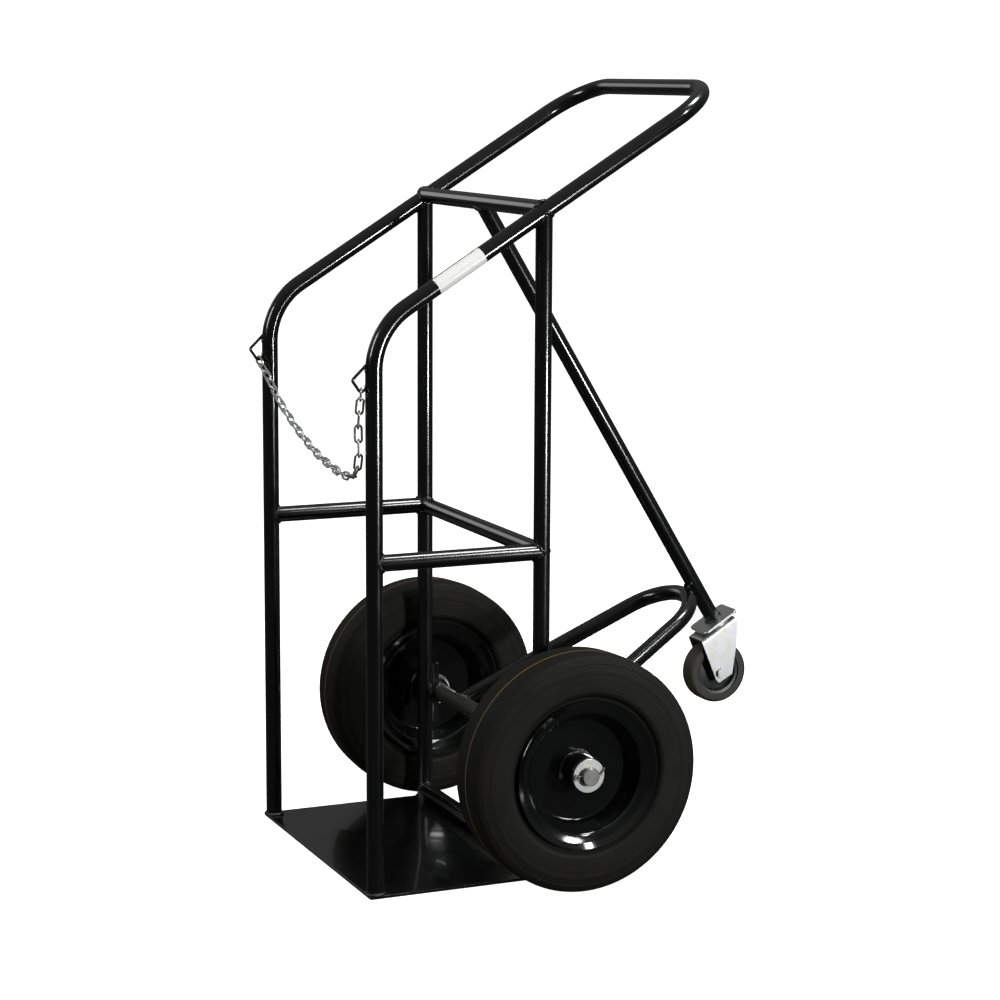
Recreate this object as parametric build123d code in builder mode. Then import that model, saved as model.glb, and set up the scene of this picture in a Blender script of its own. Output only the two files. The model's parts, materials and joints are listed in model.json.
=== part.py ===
from build123d import *
import os
from math import cos, radians, sin, tan

os.makedirs("parts", exist_ok=True)

# ---------------------------------------------------------------------------
# Driving dimensions, millimetres and degrees.
# +X is across the cart, +Y runs from the load side to the handle, +Z is up.
# The origin is the centre of the base plate's underside, on the ground.
# ---------------------------------------------------------------------------
tube_diameter = 28.0
tube_wall = 2.0
frame_width = 512.0          # upright axis to upright axis, across
frame_depth = 294.0          # front upright axis to rear upright axis
plate_thickness = 5.0
plate_overhang = 0.7         # plate beyond the uprights at the sides
mid_rail_height = 553.0
front_corner_height = 927.5  # where the upright's axis meets the slanted axis
handle_slope = 31.8          # slanted tube above horizontal
handle_length = 719.0        # along the slope, from that corner to the crossbar
front_bend_radius = 118.0
bend_radius = 94.0           # handle corners and the rear loop
strut_lean = 31.2            # castor strut from vertical
strut_length = 886.5         # from the top crossbar's axis to the castor plate
crossbar_lift = 3.5          # crossbar's axis above the slanted tubes' at the rear uprights
loop_slope = 29.3            # rear loop above horizontal
loop_splay = 14.0            # each leg of the rear loop from straight back

axle_diameter = 30.0
axle_height = 200.0          # half the wheel's diameter
axle_set_back = 325.7        # behind the front upright's axis
axle_half_length = 388.0
bracket_height = 112.0
bracket_thickness = 6.0
bracket_reach = 26.5         # rear edge of the bracket behind the upright's axis

wheel_centre = 330.0         # wheel's middle plane from the cart's middle
tyre_half_width = 47.0
hub_half_length = 44.0
hub_radius = 30.0
hub_wall = 6.8
rim_sheet = 2.5
washer_radius = 28.0
washer_thickness = 4.0
pin_wire = 3.2
collar_length = 8.0
running_clearance = 0.05
axial_clearance = 0.3

eye_rod_radius = 2.5
chain_wire = 4.0
chain_pitch = 24.0
chain_outer_width = 15.0
chain_slack = 0.95           # each joint of the chain stands this much short of taut

castor_wheel_radius = 56.5
castor_tread_half_width = 18.0
castor_drop = 84.0           # castor plate face to wheel axis, along the swivel
castor_trail = 46.5
castor_plate_size = (62.0, 76.0)

# ---------------------------------------------------------------------------
# Places worked out from them
# ---------------------------------------------------------------------------
tube_radius = tube_diameter / 2
side_x = frame_width / 2
front_y = -frame_depth / 2
rear_y = frame_depth / 2
slope = radians(handle_slope)
lean = radians(strut_lean)
junction_z = front_corner_height + frame_depth * tan(slope)
handle_y = front_y + handle_length * cos(slope)
handle_z = front_corner_height + handle_length * sin(slope)
axle_y = front_y + axle_set_back
axle_radius = axle_diameter / 2
blunt = 2.0                  # a coped tube stops this short of the other's axis

strut_axis = Vector(0, sin(lean), -cos(lean))
crossbar_z = junction_z + crossbar_lift
strut_top = Vector(0, rear_y, crossbar_z)
strut_end = strut_top + strut_axis * strut_length


def tube(start, end, cutters):
    """A straight round tube whose ends are coped to the solids in cutters."""
    run = Vector(*end) - Vector(*start)
    with BuildPart() as piece:
        with BuildSketch(Plane(origin=start, z_dir=run)):
            Circle(tube_radius)
            Circle(tube_radius - tube_wall, mode=Mode.SUBTRACT)
        extrude(amount=run.length)
        for cutter in cutters:
            add(cutter, mode=Mode.SUBTRACT)
    return piece


def round_bar(start, end, radius):
    """A solid round bar, used as itself or to cut a cope."""
    run = Vector(*end) - Vector(*start)
    with BuildPart() as piece:
        with BuildSketch(Plane(origin=start, z_dir=run)):
            Circle(radius)
        extrude(amount=run.length)
    return piece


def finish(piece, name):
    """Label a finished sub-part and write it to its own file."""
    piece.part.label = name
    export_step(piece.part, f"parts/{name}.step")


# ---------------------------------------------------------------------------
# Base plate
# ---------------------------------------------------------------------------
with BuildPart() as base_plate:
    with BuildSketch(Plane.XY):
        Rectangle(frame_width + tube_diameter + 2 * plate_overhang, frame_depth + tube_diameter)
    extrude(amount=plate_thickness)
    fillet(base_plate.edges().filter_by(Axis.Z), radius=3)
finish(base_plate, "base_plate")

# ---------------------------------------------------------------------------
# Handle frame: one tube bent from the left foot, over the handle, to the right
# ---------------------------------------------------------------------------
handle_points = [
    (-side_x, front_y, plate_thickness),
    (-side_x, front_y, front_corner_height),
    (-side_x, handle_y, handle_z),
    (side_x, handle_y, handle_z),
    (side_x, front_y, front_corner_height),
    (side_x, front_y, plate_thickness),
]
handle_bends = [front_bend_radius, bend_radius, bend_radius, front_bend_radius]

with BuildPart() as handle_frame:
    with BuildLine() as handle_route:
        FilletPolyline(*handle_points, radius=handle_bends)
    with BuildSketch(Plane(origin=handle_points[0], z_dir=(0, 0, 1))):
        Circle(tube_radius)
        Circle(tube_radius - tube_wall, mode=Mode.SUBTRACT)
    sweep(path=handle_route.wires()[0])
finish(handle_frame, "handle_frame")

with BuildPart() as handle_core:
    with BuildSketch(Plane(origin=handle_points[0], z_dir=(0, 0, 1))):
        Circle(tube_radius)
    sweep(path=handle_route.wires()[0])

# ---------------------------------------------------------------------------
# Rear uprights, crossbar, rails and foot bar
# ---------------------------------------------------------------------------
upright_cores = {}
rail_cores = {}
for side, name in ((-1, "left"), (1, "right")):
    x = side * side_x
    foot = (x, rear_y, plate_thickness)
    head = (x, rear_y, junction_z)
    upright_cores[side] = round_bar(foot, head, tube_radius).part
    rail_cores[side] = round_bar(
        (x, front_y, mid_rail_height), (x, rear_y, mid_rail_height), tube_radius
    ).part
    upright = tube(foot, head, [handle_core.part])
    finish(upright, f"rear_upright_{name}")
    side_rail = tube(
        (x, front_y + blunt, mid_rail_height),
        (x, rear_y - blunt, mid_rail_height),
        [handle_core.part, upright_cores[side]],
    )
    finish(side_rail, f"side_rail_{name}")

upright_pair = list(upright_cores.values())
rail_pair = list(rail_cores.values())
inner_x = side_x - blunt

top_crossbar = tube(
    (-inner_x, rear_y, crossbar_z), (inner_x, rear_y, crossbar_z), [handle_core.part] + upright_pair
)
finish(top_crossbar, "top_crossbar")

rear_rail = tube(
    (-inner_x, rear_y, mid_rail_height), (inner_x, rear_y, mid_rail_height), upright_pair + rail_pair
)
finish(rear_rail, "rear_rail")

foot_bar_z = plate_thickness + tube_radius
rear_foot_bar = tube((-inner_x, rear_y, foot_bar_z), (inner_x, rear_y, foot_bar_z), upright_pair)
finish(rear_foot_bar, "rear_foot_bar")

# ---------------------------------------------------------------------------
# Axle, its two brackets, and the collars that keep the wheels out
# ---------------------------------------------------------------------------
axle_core = round_bar(
    (-axle_half_length, axle_y, axle_height), (axle_half_length, axle_y, axle_height), axle_radius
)
washer_inner_face = hub_half_length + axial_clearance
outer_washer_x = wheel_centre + washer_inner_face
pin_x = outer_washer_x + washer_thickness + axial_clearance + pin_wire / 2
inner_washer_x = wheel_centre - washer_inner_face - washer_thickness
collar_x = inner_washer_x - axial_clearance - collar_length

with BuildPart() as axle:
    with BuildSketch(Plane(origin=(-axle_half_length, axle_y, axle_height), z_dir=(1, 0, 0))):
        Circle(axle_radius)
    extrude(amount=2 * axle_half_length)
    chamfer(axle.edges().filter_by(GeomType.CIRCLE), length=1.5)
    for side in (-1, 1):
        with Locations(Plane(origin=(side * pin_x, axle_y, axle_height), z_dir=(0, 1, 0))):
            Cylinder(pin_wire / 2 + 0.3, 2 * axle_diameter, mode=Mode.SUBTRACT)
finish(axle, "axle")

for side, name in ((-1, "left"), (1, "right")):
    x = side * side_x
    with BuildPart() as axle_bracket:
        with BuildSketch(Plane(origin=(x, rear_y, axle_height), x_dir=(0, 1, 0), z_dir=(1, 0, 0))):
            with Locations((bracket_reach / 2, 0)):
                Rectangle(bracket_reach, bracket_height)
        extrude(amount=bracket_thickness / 2, both=True)
        add(upright_cores[side], mode=Mode.SUBTRACT)
        add(axle_core.part, mode=Mode.SUBTRACT)
    finish(axle_bracket, f"axle_bracket_{name}")

    with BuildPart() as axle_collar:
        with BuildSketch(Plane(origin=(side * collar_x, axle_y, axle_height), z_dir=(side, 0, 0))):
            Circle(axle_radius + 8)
            Circle(axle_radius, mode=Mode.SUBTRACT)
        extrude(amount=collar_length)
        chamfer(axle_collar.edges().filter_by(GeomType.CIRCLE).sort_by(SortBy.RADIUS)[-2:], length=1)
    finish(axle_collar, f"axle_collar_{name}")

    with BuildPart() as wheel_washers:
        for washer_x in (inner_washer_x, outer_washer_x):
            with BuildSketch(Plane(origin=(side * washer_x, axle_y, axle_height), z_dir=(side, 0, 0))):
                Circle(washer_radius)
                Circle(axle_radius + 0.4, mode=Mode.SUBTRACT)
            extrude(amount=washer_thickness)
        chamfer(
            wheel_washers.edges().filter_by(GeomType.CIRCLE).group_by(SortBy.RADIUS)[-1], length=0.5
        )
    finish(wheel_washers, f"wheel_washers_{name}")

    # The split pin goes in from the front; its two legs are bent apart behind.
    pin_plane = Plane(origin=(side * pin_x, axle_y, axle_height), x_dir=(0, 1, 0), z_dir=(1, 0, 0))
    with BuildPart() as split_pin:
        with BuildLine(pin_plane) as pin_route:
            FilletPolyline(
                (-axle_radius - 3, 0), (axle_radius + 5, 0), (axle_radius + 12, 12), radius=5
            )
        with BuildSketch(Plane(origin=pin_route.wires()[0] @ 0, z_dir=(0, 1, 0))):
            Circle(pin_wire / 2)
        sweep(path=pin_route.wires()[0])
        with BuildSketch(pin_plane):
            with Locations((-axle_radius - 7, 0)):
                Circle(5)
                Circle(2.2, mode=Mode.SUBTRACT)
        extrude(amount=pin_wire / 2 - 0.1, both=True)
    finish(split_pin, f"split_pin_{name}")

# ---------------------------------------------------------------------------
# Wheels: solid tyre on a pressed rim of two halves, roller bearing in the hub
# ---------------------------------------------------------------------------
rim_lip_radius = 125.0
disc_half_gap = 0.05
tread_half_width = 37.0
tread_edge_radius = 197.8    # the crown falls this little across the tread
side_radius = 157.0          # where the rounded shoulder runs into the flat side
shoulder_middle = (44.0, 186.0)
roller_radius = 4.0
roller_length = 62.0
roller_count = 12
roller_circle = axle_radius + running_clearance + roller_radius
hub_bore = hub_radius - hub_wall

# The face of the rim that the tyre sits on, as (distance from the wheel's middle, radius)
rim_points = [
    (disc_half_gap, hub_radius),
    (disc_half_gap, 86.0),
    (8.0, 92.0),
    (24.0, 99.0),
    (34.0, 103.0),
    (38.0, 116.0),
    (44.0, rim_lip_radius),
]
for side, name in ((-1, "left"), (1, "right")):
    hub_centre = (side * wheel_centre, axle_y, axle_height)
    spin_axis = Axis(hub_centre, (side, 0, 0))
    profile_plane = Plane(origin=hub_centre, x_dir=(side, 0, 0), z_dir=(0, -side, 0))

    for half, half_name in ((1, "outer"), (-1, "inner")):
        points = [(half * x, r) for x, r in rim_points]
        with BuildPart() as rim_half:
            with BuildSketch(profile_plane):
                with BuildLine():
                    FilletPolyline(*points, radius=(5, 4, 4, 6, 4))
                    offset(amount=rim_sheet, side=Side.RIGHT if half > 0 else Side.LEFT, closed=True)
                make_face()
            revolve(axis=spin_axis)
        finish(rim_half, f"rim_{half_name}_{name}")

    with BuildPart() as hub:
        with BuildSketch(profile_plane):
            with Locations((0, (hub_radius + hub_bore) / 2)):
                Rectangle(2 * hub_half_length, hub_wall)
        revolve(axis=spin_axis)
        chamfer(hub.edges().filter_by(GeomType.CIRCLE), length=0.8)
    finish(hub, f"hub_{name}")

    with BuildPart() as roller_set:
        with BuildSketch(Plane(origin=hub_centre, z_dir=(1, 0, 0))):
            with PolarLocations(roller_circle, roller_count):
                Circle(roller_radius)
        extrude(amount=roller_length / 2, both=True)
    finish(roller_set, f"roller_set_{name}")

    with BuildPart() as roller_cage:
        for end in (-1, 1):
            ring_plane = Plane(
                origin=(side * wheel_centre + end * (roller_length / 2 + 0.3), axle_y, axle_height),
                z_dir=(end, 0, 0),
            )
            with BuildSketch(ring_plane):
                Circle(hub_bore - running_clearance)
                Circle(axle_radius + 0.4, mode=Mode.SUBTRACT)
            extrude(amount=5)
    finish(roller_cage, f"roller_cage_{name}")

    with BuildPart() as tyre:
        with BuildSketch(profile_plane):
            with BuildLine():
                ThreePointArc(
                    (-tread_half_width, tread_edge_radius),
                    (0, axle_height),
                    (tread_half_width, tread_edge_radius),
                )
                for end in (-1, 1):
                    Spline(
                        (end * tread_half_width, tread_edge_radius),
                        (end * shoulder_middle[0], shoulder_middle[1]),
                        (end * tyre_half_width, side_radius),
                        tangents=[(end, -0.12), (0, -1)],
                    )
                    Polyline(
                        (end * tyre_half_width, side_radius),
                        (end * 46.5, 139),
                        (end * 44.5, 134.5),
                        (end * 38.5, 129),
                        (end * 36.8, 119),
                        (end * 33.0, 105.5),
                        (end * 24.0, 101.5),
                    )
                Line((-24, 101.5), (24, 101.5))
            make_face()
        revolve(axis=spin_axis)
    finish(tyre, f"tyre_{name}")

# ---------------------------------------------------------------------------
# Castor strut, and the rear loop whose crown rests against it
# ---------------------------------------------------------------------------
crossbar_core = round_bar((-inner_x, rear_y, crossbar_z), (inner_x, rear_y, crossbar_z), tube_radius)
castor_strut = tube(strut_top + strut_axis * blunt, strut_end, [crossbar_core.part])
finish(castor_strut, "castor_strut")

loop_angle = radians(loop_slope)
splay = radians(loop_splay)
loop_start = Vector(0, axle_y, axle_height)
loop_straight = Vector(0, cos(loop_angle), sin(loop_angle))

# The crown's axis stands one tube diameter in front of the strut's axis.
to_strut = strut_top - loop_start
strut_normal = Vector(0, -cos(lean), -sin(lean))
loop_reach = (to_strut.dot(strut_normal) + tube_diameter) / loop_straight.dot(strut_normal)
crown_centre = loop_reach - bend_radius
leg_half_gap = (bend_radius * (1 - sin(splay)) + loop_reach * sin(splay)) / cos(splay)
loop_plane = Plane(origin=loop_start, x_dir=(1, 0, 0), z_dir=(0, -sin(loop_angle), cos(loop_angle)))

with BuildPart() as rear_loop:
    with BuildLine(loop_plane) as loop_route:
        bend = CenterArc(
            (0, crown_centre), bend_radius, start_angle=loop_splay, arc_size=180 - 2 * loop_splay
        )
        Line((leg_half_gap, 0), bend @ 0)
        Line(bend @ 1, (-leg_half_gap, 0))
    loop_wire = loop_route.wires()[0]
    with BuildSketch(Plane(origin=loop_wire @ 0, z_dir=loop_wire % 0)):
        Circle(tube_radius)
        Circle(tube_radius - tube_wall, mode=Mode.SUBTRACT)
    sweep(path=loop_wire)
    add(axle_core.part, mode=Mode.SUBTRACT)
finish(rear_loop, "rear_loop")

# ---------------------------------------------------------------------------
# Chain eyes: three-cornered rod loops on the front of the front uprights
# ---------------------------------------------------------------------------
eye_corners = [(-11.0, 875.0), (-37.0, 849.7), (-22.0, 828.3), (-12.5, 836.8)]
eye_bends = [4.0, 5.5]
for side, name in ((-1, "left"), (1, "right")):
    points = [(side * side_x, front_y + y, z) for y, z in eye_corners]
    with BuildPart() as chain_eye:
        with BuildLine() as eye_route:
            FilletPolyline(*points, radius=eye_bends)
        eye_wire = eye_route.wires()[0]
        with BuildSketch(Plane(origin=eye_wire @ 0, z_dir=eye_wire % 0)):
            Circle(eye_rod_radius)
        sweep(path=eye_wire)
        add(handle_core.part, mode=Mode.SUBTRACT)
    finish(chain_eye, f"chain_eye_{name}")

# ---------------------------------------------------------------------------
# Chain: welded links from the left eye to an S-hook on the right eye
# ---------------------------------------------------------------------------
hang_y = front_y - 21.6
hang_z = 831.2               # the eye rod's axis at its lowest point
eye_contact = eye_rod_radius + 0.4
chain_route_points = [
    (-side_x, hang_z),
    (-200, 803),
    (-150, 774),
    (-100, 752),
    (-50, 733),
    (0, 717),
    (54, 703),
    (107, 694),
    (154, 688),
    (190, 687),
    (226, 695),
    (242.5, 714),
    (244, 742),
    (242, 775),
    (249, 805),
    (side_x - 0.4, hang_z),
]
with BuildLine(Plane.XZ.offset(-hang_y)) as chain_route:
    chain_curve = Spline(*chain_route_points)

link_step = chain_pitch - chain_slack
half_wire = chain_wire / 2
link_bend = (chain_outer_width - chain_wire) / 2
link_half_length = (chain_pitch + chain_wire) / 2


def next_joint(start_u, step):
    """The place further along the chain's curve that is one step away."""
    low = start_u
    high = min(1.0, start_u + 0.1)
    for _ in range(40):
        middle = (low + high) / 2
        if (chain_curve @ middle - chain_curve @ start_u).length < step:
            low = middle
        else:
            high = middle
    return low


# The first link bears on the far side of the left eye's rod.
joint_places = [next_joint(0, link_step - eye_contact)]
while (chain_curve @ 1 - chain_curve @ joint_places[-1]).length > 1.2 * link_step:
    joint_places.append(next_joint(joint_places[-1], link_step))
joints = [chain_curve @ u for u in joint_places]
left_eye = chain_curve @ 0
right_eye = chain_curve @ 1
joints.insert(0, left_eye - (joints[0] - left_eye).normalized() * eye_contact)
link_count = len(joints) - 1

# One link lies along X in the XY plane, round its own centre.
with BuildPart() as link_blank:
    with BuildSketch(Plane(origin=(0, link_bend, 0), z_dir=(1, 0, 0))):
        Circle(half_wire)
    extrude(amount=link_half_length - link_bend, both=True)
    mirror(about=Plane.XZ)
    with BuildSketch(Plane(origin=(link_half_length - link_bend, link_bend, 0), z_dir=(1, 0, 0))):
        Circle(half_wire)
    revolve(axis=Axis((link_half_length - link_bend, 0, 0), (0, 0, -1)), revolution_arc=180)
    with BuildSketch(Plane(origin=(link_bend - link_half_length, link_bend, 0), z_dir=(-1, 0, 0))):
        Circle(half_wire)
    revolve(axis=Axis((link_bend - link_half_length, 0, 0), (0, 0, 1)), revolution_arc=180)

# Each link is turned about a quarter turn from the one before it, by an angle
# that brings the hook round to lie flat across its eye like the first link.
first_roll = -20.0
link_turn = 180.0 * round(link_count / 2) / link_count
chain_normal = Vector(0, 1, 0)


def link_plane(start, end, roll):
    """The plane of a link that joins two points, rolled round the line between them."""
    along = (end - start).normalized()
    across = chain_normal.rotate(Axis((0, 0, 0), along), roll)
    return Plane(origin=(start + end) / 2, x_dir=along, z_dir=across)


with BuildPart() as chain_links:
    for index in range(link_count):
        with Locations(link_plane(joints[index], joints[index + 1], first_roll + index * link_turn)):
            add(link_blank.part)
finish(chain_links, "chain_links")

# The S-hook closes the last gap, from the last link to the right eye.
hook_start = joints[-1]
hook_end = right_eye + (right_eye - hook_start).normalized() * eye_contact
hook_reach = (hook_end - hook_start).length / 2 + half_wire
hook_plane = link_plane(hook_start, hook_end, first_roll)
hook_half_width = 6.0
hook_wire_radius = 1.8
hook_points = [
    (hook_reach - 11, hook_half_width),
    (hook_reach, hook_half_width),
    (hook_reach, -hook_half_width),
    (4, -hook_half_width),
    (-4, hook_half_width),
    (-hook_reach, hook_half_width),
    (-hook_reach, -hook_half_width),
    (11 - hook_reach, -hook_half_width),
]
with BuildPart() as chain_hook:
    with BuildLine(hook_plane) as hook_route:
        FilletPolyline(*hook_points, radius=[5.5, 5.5, 3, 3, 5.5, 5.5])
    hook_wire = hook_route.wires()[0]
    with BuildSketch(Plane(origin=hook_wire @ 0, z_dir=hook_wire % 0)):
        Circle(hook_wire_radius)
    sweep(path=hook_wire)
finish(chain_hook, "chain_hook")

# ---------------------------------------------------------------------------
# Swivel castor. In its own frame +X is across the cart, +Z runs up the strut
# and the wheel trails along -Y; the origin is the end of the strut.
# ---------------------------------------------------------------------------
plate_width, plate_length = castor_plate_size
castor_plate_thickness = 4.0
kingpin_radius = 6.0
upper_ball_radius = 3.0
lower_ball_radius = 2.4
fork_sheet = 3.2
fork_half_width = 27.2
ball_gap = 0.1
crown_top = -(castor_plate_thickness + 2 * upper_ball_radius + 2 * ball_gap)
crown_bottom = crown_top - fork_sheet
cup_top = crown_bottom - 2 * lower_ball_radius - 2 * ball_gap
cup_thickness = 3.0
castor_frame = Plane(origin=strut_end, x_dir=(1, 0, 0), z_dir=-strut_axis)
castor_up = Axis(strut_end, -strut_axis)
trail_direction = -castor_frame.y_dir

with BuildPart() as castor_top_plate:
    with BuildSketch(castor_frame.offset(-castor_plate_thickness)):
        RectangleRounded(plate_width, plate_length, 8)
        Circle(kingpin_radius, mode=Mode.SUBTRACT)
    extrude(amount=castor_plate_thickness)
    chamfer(castor_top_plate.faces().sort_by(castor_up)[-1].outer_wire().edges(), length=0.6)
finish(castor_top_plate, "castor_top_plate")

with BuildPart() as castor_kingpin:
    with BuildSketch(castor_frame):
        Circle(9)
    extrude(amount=4)
    with BuildSketch(castor_frame):
        Circle(kingpin_radius)
    extrude(amount=cup_top - cup_thickness)
    with BuildSketch(castor_frame.offset(cup_top - cup_thickness)):
        RegularPolygon(9, 6)
    extrude(amount=-5)
finish(castor_kingpin, "castor_kingpin")

with BuildPart() as castor_upper_balls:
    with Locations(castor_frame.offset(-castor_plate_thickness - ball_gap - upper_ball_radius)):
        with PolarLocations(20, 16):
            Sphere(upper_ball_radius)
finish(castor_upper_balls, "castor_upper_balls")

with BuildPart() as castor_lower_balls:
    with Locations(castor_frame.offset(crown_bottom - ball_gap - lower_ball_radius)):
        with PolarLocations(13, 12):
            Sphere(lower_ball_radius)
finish(castor_lower_balls, "castor_lower_balls")

with BuildPart() as castor_lower_cup:
    with BuildSketch(castor_frame.offset(cup_top - cup_thickness)):
        Circle(18)
        Circle(kingpin_radius, mode=Mode.SUBTRACT)
    extrude(amount=cup_thickness)
    fillet(castor_lower_cup.edges().filter_by(GeomType.CIRCLE).group_by(SortBy.RADIUS)[-1], radius=0.8)
finish(castor_lower_cup, "castor_lower_cup")

with BuildPart() as castor_race_ring:
    with BuildSketch(castor_frame.offset(crown_top)):
        Circle(27)
        Circle(24.6, mode=Mode.SUBTRACT)
    extrude(amount=-crown_top - castor_plate_thickness - 0.6)
finish(castor_race_ring, "castor_race_ring")

# The fork: a pressed channel, cut to its outline as seen from the side.
fork_outline = [
    (-30, crown_top),
    (48, crown_top),
    (50, -20),
    (60.5, -89),
    (58.5, -98),
    (28, -99),
    (-8.5, -54),
    (-21, -34),
    (-30, -20),
]
channel_plane = Plane(origin=strut_end, x_dir=(1, 0, 0), z_dir=trail_direction)
outline_plane = Plane(origin=strut_end, x_dir=trail_direction, z_dir=(-1, 0, 0))
castor_axle_place = strut_end + strut_axis * castor_drop + trail_direction * castor_trail

with BuildPart() as castor_fork:
    with BuildSketch(channel_plane):
        with Locations((0, crown_top - 60)):
            channel_outer = Rectangle(2 * fork_half_width, 120)
        fillet(channel_outer.vertices().group_by(Axis.Y)[-1], radius=7.2)
        with BuildSketch(mode=Mode.SUBTRACT):
            with Locations((0, crown_bottom - 60)):
                channel_inner = Rectangle(2 * (fork_half_width - fork_sheet), 120)
            fillet(channel_inner.vertices().group_by(Axis.Y)[-1], radius=4)
    extrude(amount=80, both=True)
    with BuildSketch(outline_plane):
        with BuildLine():
            FilletPolyline(*fork_outline, radius=3, close=True)
        make_face()
    extrude(amount=40, both=True, mode=Mode.INTERSECT)
    with BuildSketch(castor_frame.offset(crown_top)):
        Circle(kingpin_radius + 0.08)
    extrude(amount=-2 * fork_sheet, mode=Mode.SUBTRACT)
    with BuildSketch(Plane(origin=castor_axle_place, z_dir=(1, 0, 0))):
        Circle(5.1)
    extrude(amount=40, both=True, mode=Mode.SUBTRACT)
finish(castor_fork, "castor_fork")

# Castor wheel, turning on a sleeve that is clamped between the fork's legs.
sleeve_radius = 8.0
core_half_width = 21.0
castor_spin = Axis(castor_axle_place, (1, 0, 0))
castor_profile = Plane(origin=castor_axle_place, x_dir=(1, 0, 0), z_dir=(0, -1, 0))
inside_leg = fork_half_width - fork_sheet

with BuildPart() as castor_axle_sleeve:
    with BuildSketch(Plane(origin=castor_axle_place, z_dir=(1, 0, 0))):
        Circle(sleeve_radius)
        Circle(5.1, mode=Mode.SUBTRACT)
    extrude(amount=inside_leg - 0.05, both=True)
finish(castor_axle_sleeve, "castor_axle_sleeve")

with BuildPart() as castor_axle_bolt:
    with BuildSketch(Plane(origin=castor_axle_place + Vector(fork_half_width, 0, 0), z_dir=(1, 0, 0))):
        RegularPolygon(9.4, 6)
    extrude(amount=6.4)
    with BuildSketch(Plane(origin=castor_axle_place + Vector(fork_half_width, 0, 0), z_dir=(-1, 0, 0))):
        Circle(5)
    extrude(amount=2 * fork_half_width + 11)
finish(castor_axle_bolt, "castor_axle_bolt")

with BuildPart() as castor_axle_nut:
    with BuildSketch(Plane(origin=castor_axle_place - Vector(fork_half_width, 0, 0), z_dir=(-1, 0, 0))):
        RegularPolygon(9.4, 6)
        Circle(5, mode=Mode.SUBTRACT)
    extrude(amount=8)
finish(castor_axle_nut, "castor_axle_nut")

core_half_profile = [
    (0, sleeve_radius + running_clearance),
    (core_half_width, sleeve_radius + running_clearance),
    (core_half_width, 15),
    (8, 17),
    (6, 33),
    (14, 36),
    (15, 41),
    (0, 41),
]
with BuildPart() as castor_wheel_core:
    with BuildSketch(castor_profile):
        with BuildLine():
            Polyline(*core_half_profile, close=True)
        make_face()
        mirror(about=Plane.YZ)
    revolve(axis=castor_spin)
finish(castor_wheel_core, "castor_wheel_core")

with BuildPart() as castor_tyre:
    with BuildSketch(castor_profile):
        with Locations((0, (castor_wheel_radius + 41) / 2)):
            castor_tread = Rectangle(2 * castor_tread_half_width, castor_wheel_radius - 41)
        fillet(castor_tread.vertices().group_by(Axis.Y)[-1], radius=6)
        fillet(castor_tread.vertices().group_by(Axis.Y)[0], radius=2)
    revolve(axis=castor_spin)
finish(castor_tyre, "castor_tyre")

# ---------------------------------------------------------------------------
# Blank label: a thin vinyl patch on the outside of the right slanted tube
# ---------------------------------------------------------------------------
label_start = 124.0          # along the slope from the front corner
label_length = 93.0
label_half_angle = 78.0
label_thickness = 0.3
slant_direction = Vector(0, cos(slope), sin(slope))
label_origin = Vector(side_x, front_y, front_corner_height) + slant_direction * label_start
label_plane = Plane(origin=label_origin, x_dir=(1, 0, 0), z_dir=slant_direction)
with BuildPart() as blank_label:
    with BuildSketch(label_plane):
        with BuildLine():
            inner_edge = CenterArc((0, 0), tube_radius, -label_half_angle, 2 * label_half_angle)
            outer_edge = CenterArc(
                (0, 0), tube_radius + label_thickness, -label_half_angle, 2 * label_half_angle
            )
            Line(inner_edge @ 0, outer_edge @ 0)
            Line(inner_edge @ 1, outer_edge @ 1)
        make_face()
    extrude(amount=label_length)
finish(blank_label, "blank_label")
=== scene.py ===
"""A welder's gas cylinder cart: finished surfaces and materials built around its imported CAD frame.

Lengths in the functions are metres, and the properties hold the sizes and colours that may be changed.
"""

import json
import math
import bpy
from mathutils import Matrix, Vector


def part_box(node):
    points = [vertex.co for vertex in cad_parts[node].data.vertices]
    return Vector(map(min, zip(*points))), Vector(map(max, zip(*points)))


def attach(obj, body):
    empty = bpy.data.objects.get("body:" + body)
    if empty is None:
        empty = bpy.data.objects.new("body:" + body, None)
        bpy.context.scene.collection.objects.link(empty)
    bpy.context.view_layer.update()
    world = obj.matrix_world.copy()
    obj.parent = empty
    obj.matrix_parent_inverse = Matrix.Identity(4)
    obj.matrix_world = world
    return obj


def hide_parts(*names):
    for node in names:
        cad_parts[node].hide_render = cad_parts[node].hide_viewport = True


bl_info = {
    "name": "Cylinder Cart",
    "version": (1, 0, 0),
    "blender": (4, 5, 0),
    "location": "3D View > Sidebar > Cart",
    "description": "Builds the tubes, welds, wheels, castor and chain of a gas cylinder cart",
    "category": "Object",
}

import bmesh
import bpy
import numpy as np
from mathutils import Matrix, Vector

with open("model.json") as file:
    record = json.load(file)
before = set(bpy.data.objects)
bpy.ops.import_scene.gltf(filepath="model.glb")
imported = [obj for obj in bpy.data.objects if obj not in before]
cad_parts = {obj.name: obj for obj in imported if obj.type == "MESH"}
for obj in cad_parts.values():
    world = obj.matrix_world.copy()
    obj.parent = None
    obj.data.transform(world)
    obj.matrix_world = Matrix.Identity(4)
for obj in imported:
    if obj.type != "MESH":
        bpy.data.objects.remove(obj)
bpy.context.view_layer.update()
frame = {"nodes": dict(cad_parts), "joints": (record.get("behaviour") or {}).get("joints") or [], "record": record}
JOINTS = {joint["name"]: joint for joint in frame["joints"]}


# ---------------------------------------------------------------------------
# Places read from the CAD frame
# ---------------------------------------------------------------------------
def middle(node):
    """The centre of a node's box, as an array."""
    low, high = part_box(node)
    return (np.array(low) + np.array(high)) / 2


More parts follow.
